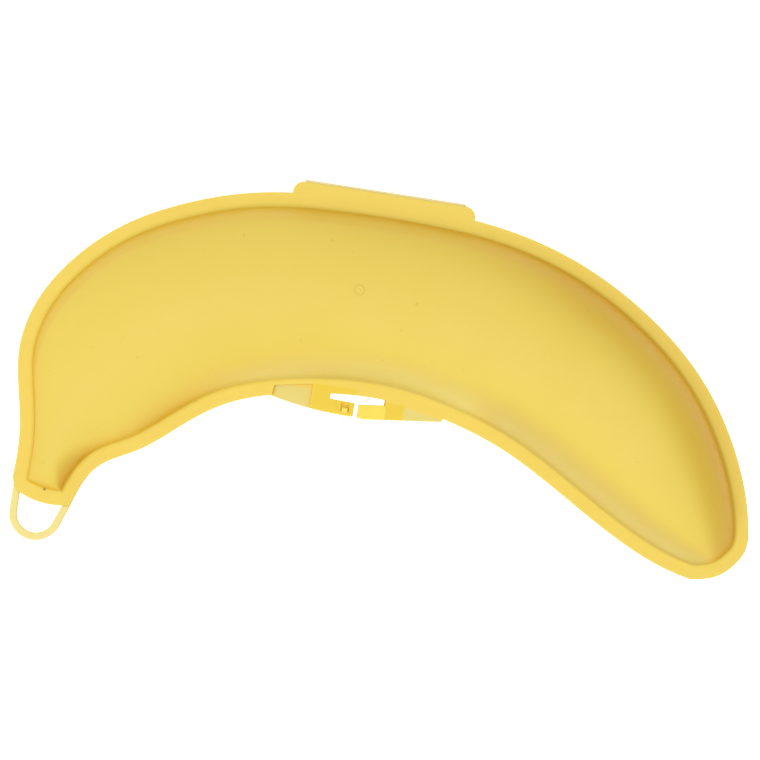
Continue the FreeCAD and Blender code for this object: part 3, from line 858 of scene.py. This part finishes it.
def relief(tree, where, marks):
    """Surface normal with a fine grain, a slow swell and the rings of round marks."""
    grain = node(tree, "ShaderNodeTexNoise", Scale=1500.0, Detail=2.0)
    tree.links.new(where, grain.inputs["Vector"])
    fine = node(tree, "ShaderNodeBump", Strength=0.12, Distance=0.00006)
    tree.links.new(grain.outputs["Fac"], fine.inputs["Height"])
    swell = node(tree, "ShaderNodeTexNoise", Scale=45.0, Detail=1.0)
    tree.links.new(where, swell.inputs["Vector"])
    height = swell.outputs["Fac"]
    for centre, radius in marks:
        off = math_of(tree, "SUBTRACT", away_from(tree, where, centre), radius)
        ridge = step(tree, math_of(tree, "ABSOLUTE", off), 0.0001, 0.0004, False)
        height = math_of(tree, "ADD", height, math_of(tree, "MULTIPLY", ridge, 0.35))
    soft = node(tree, "ShaderNodeBump", Strength=0.2, Distance=0.0005)
    tree.links.new(height, soft.inputs["Height"])
    tree.links.new(fine.outputs["Normal"], soft.inputs["Normal"])
    return soft.outputs["Normal"]


def plastic(name, light, deep, patches=(), marks=(), pinholes=(), glow=0.03):
    """Moulded polypropylene, with patches of painted light and shade, round marks, pinholes drawn as
    painted dark dots and a faint painted glow.
    """
    material = bpy.data.materials.new(name)
    material.use_nodes = True
    tree = material.node_tree
    shader = tree.nodes["Principled BSDF"]
    coordinates = node(tree, "ShaderNodeTexCoord")
    where, normal = coordinates.outputs["Object"], coordinates.outputs["Normal"]

    colour = body_tone_and_painted_shade(tree, where, normal, light, deep)
    # patches of painted light and shade where the latch's layers lie
    for x_range, y_range, slant, tint in patches:
        colour = tinted(tree, colour, region(tree, where, x_range, y_range, slant), tint)
    colour = specked(tree, where, colour)
    for centre, radius in pinholes:
        # painted shade: a pinhole is only a dark dot in the colour, standing in for the shade inside
        # the hole
        hole = step(tree, away_from(tree, where, centre), radius * 0.5, radius * 1.2, False)
        colour = tinted(tree, colour, hole, PINHOLE_PAINTED_SHADE)

    # the emission is a painted glow in the plastic's own colour, standing in for light that comes
    # through it
    linked = {
        "Base Color": colour,
        "Emission Color": colour,
        "Emission Strength": painted_light_through(tree, where, glow),
        "Roughness": scuffs(tree, where),
        "Normal": relief(tree, where, marks),
    }
    for socket, value in linked.items():
        tree.links.new(value, shader.inputs[socket])
    shader.inputs["IOR"].default_value = 1.49
    shader.inputs["Specular IOR Level"].default_value = 0.3
    shader.inputs["Subsurface Weight"].default_value = 0.2
    shader.inputs["Subsurface Radius"].default_value = (1.0, 0.8, 0.5)
    shader.inputs["Subsurface Scale"].default_value = 0.0015
    return material


# ------------------------------------------------------------------- assembly

lower_half = half("lower_half_moulding", LOWER)
upper_half = half("upper_half_moulding", UPPER)
hinge_fold = film("living_hinge_film")
arms = {LOWER: arm("lower_arm_plate", LOWER), UPPER: arm("upper_arm_plate", UPPER)}
hooks = {LOWER: hook("lower_arm_hook", LOWER), UPPER: hook("upper_arm_hook", UPPER)}
loop = hanging_loop("hanging_loop_band")

# a patch: X and Y range in millimetres, slant of the Y range, painted tone: paler for light through
# one layer, deeper for shade where layers overlap;
# a mark or pinhole: centre in millimetres, radius in metres
lower_layer_light_patches = [((-27.2, -14.6), (-79.0, -70.6), 0.0, PALE_LAYER_PAINTED_LIGHT)]
upper_layer_light_patches = [
    ((-14.6, 0.6), (-79.5, -68.5), 0.0, DEEP_LAYER_PAINTED_SHADE),
    ((9.2, 17.6), (-79.5, -71.5), 0.0, DEEP_LAYER_PAINTED_SHADE),
    ((18.0, 31.0), (-79.5, -72.0), 0.208, PALE_LAYER_PAINTED_LIGHT),
]
marks = [((63.3, -47.3), 0.0016), ((74.8, -56.1), 0.0021), ((123.7, -86.4), 0.0016)]
pinholes = [((-101.2, -119.1), 0.0006)]
lower_plastic = plastic("yellow_lower", CREST_TONE, STEEP_WALL_DEPTH_AND_SHADE, lower_layer_light_patches, marks, pinholes)
upper_plastic = plastic("yellow_upper", CREST_TONE, STEEP_WALL_DEPTH_AND_SHADE, upper_layer_light_patches, marks, pinholes)
# glow: painted light in each material, stronger for the thin arms and hooks
arm_plastic = plastic("yellow_arm", (0.88, 0.70, 0.10), (0.84, 0.62, 0.07), glow=0.1)
# painted light: the hanging loop, one layer seen against the floor, has a paler tone standing in for
# the light coming through it
single_layer_painted_light_plastic = plastic("yellow_single_layer_painted_light", (0.86, 0.75, 0.28), (0.82, 0.66, 0.16), glow=0.04)
film_plastic = plastic("yellow_film", (0.90, 0.78, 0.38), (0.84, 0.72, 0.34), glow=0.05)
gates = {LOWER: gate_mark("lower_gate_mark", LOWER), UPPER: gate_mark("upper_gate_mark", UPPER)}
for thing, material in (
    (lower_half, lower_plastic), (gates[LOWER], lower_plastic), (upper_half, upper_plastic),
    (gates[UPPER], upper_plastic), (arms[LOWER], arm_plastic), (arms[UPPER], arm_plastic),
    (hooks[LOWER], arm_plastic), (hooks[UPPER], arm_plastic), (loop, single_layer_painted_light_plastic),
    (hinge_fold, film_plastic),
):
    thing.data.materials.append(material)


def place(x, y, z):
    """A point of the design in the frame's metres."""
    return tuple((np.array([x, y, z]) + SHIFT) / 1000)


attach(lower_half, "lower_case")
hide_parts("lower_shell", "lower_hinge_leaf", "lower_latch_tab", "lower_keeper")
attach(upper_half, "upper_case")
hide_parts("upper_shell", "upper_hinge_leaf", "upper_latch_tab", "upper_keeper")
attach(loop, "lower_case")
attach(gates[LOWER], "lower_case")
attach(gates[UPPER], "upper_case")
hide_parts("hanging_loop")
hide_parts("hinge_film")
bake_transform(hinge_fold)
for side, case, arm_body, node_name in (
    (LOWER, "lower_case", "lower_arm", "lower_latch_arm"),
    (UPPER, "upper_case", "upper_arm", "upper_latch_arm"),
):
    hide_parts(node_name)
    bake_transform(arms[side])
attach(hooks[LOWER], "lower_arm")
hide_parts("lower_latch_hook")
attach(hooks[UPPER], "upper_arm")
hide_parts("upper_latch_hook")

# ---------------------------------------------------------------------- stage

scene = bpy.context.scene
scene.view_settings.view_transform = "Standard"

floor_mesh = bpy.data.meshes.new("floor")
floor_mesh.from_pydata([(-3, -3, 0), (3, -3, 0), (3, 3, 0), (-3, 3, 0)], [], [(0, 1, 2, 3)])
floor = bpy.data.objects.new("floor", floor_mesh)
scene.collection.objects.link(floor)
floor.location.z = -0.0002
paint = bpy.data.materials.new("pale_floor")
paint.use_nodes = True
coat = paint.node_tree.nodes["Principled BSDF"]
coat.inputs["Base Color"].default_value = (0.9, 0.9, 0.9, 1)
coat.inputs["Roughness"].default_value = 0.9
coat.inputs["Emission Color"].default_value = (1, 1, 1, 1)
coat.inputs["Emission Strength"].default_value = 0.55
floor_mesh.materials.append(paint)

world = bpy.data.worlds.new("studio")
scene.world = world
world.use_nodes = True
backdrop = world.node_tree.nodes["Background"]
backdrop.inputs["Color"].default_value = (1, 1, 1, 1)
backdrop.inputs["Strength"].default_value = 0.55


def softbox(name, where, size, power):
    """A round lamp that looks at the frame's origin."""
    lamp = bpy.data.lights.new(name, "AREA")
    lamp.shape = "DISK"
    lamp.size = size
    lamp.energy = power
    thing = bpy.data.objects.new(name, lamp)
    scene.collection.objects.link(thing)
    thing.location = where
    thing.rotation_euler = (-Vector(where)).to_track_quat("-Z", "Y").to_euler()


softbox("key", (-0.60, -0.85, 1.8), 1.0, 8.5)
softbox("top", (-0.1, -0.05, 2.2), 1.6, 15.0)

LENS, SENSOR = 200, 36
PICTURE_WIDTH = 0.2637  # at the parting plane, in metres
lens = bpy.data.cameras.new("camera")
lens.lens = LENS
lens.sensor_width = SENSOR
lens.clip_end = 20
camera = bpy.data.objects.new("camera", lens)
scene.collection.objects.link(camera)
camera.location = (-0.0046, 0.0043, SHIFT[2] / 1000 + LENS * PICTURE_WIDTH / SENSOR)
camera.rotation_euler = (0, 0, math.radians(8.8))
scene.camera = camera
